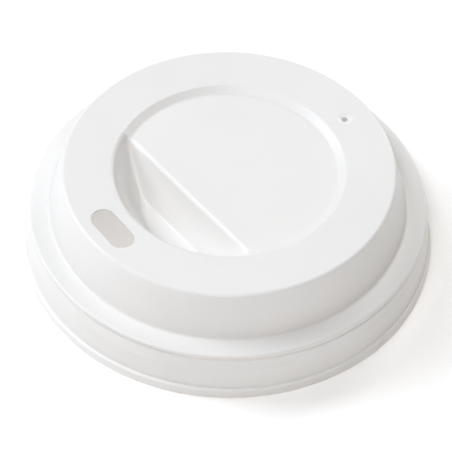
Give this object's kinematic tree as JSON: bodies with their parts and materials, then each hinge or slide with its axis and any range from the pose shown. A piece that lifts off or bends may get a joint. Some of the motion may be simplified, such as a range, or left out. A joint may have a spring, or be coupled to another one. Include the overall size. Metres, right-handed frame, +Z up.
{
  "type": "coffee cup lid",
  "caption": "Round white plastic sip lid for a takeaway cup, with a raised drinking rim, a recess with a deep lip pocket, a stadium sip hole, a small vent, a cup-rim shelf and a gripping skirt.",
  "frame": {"origin": "centre of the base, on the surface that the lid stands on", "axes": "+Z up through the top of the lid; -Y towards the sip hole; the vent is near +Y; +X to the right when the sip hole faces the viewer"},
  "size_m": [0.0838, 0.0838, 0.0213],
  "materials": {
    "white_plastic": "smooth satin"
  },
  "bodies": {
    "root": {"lid": "white_plastic"}
  },
  "joints": []
}
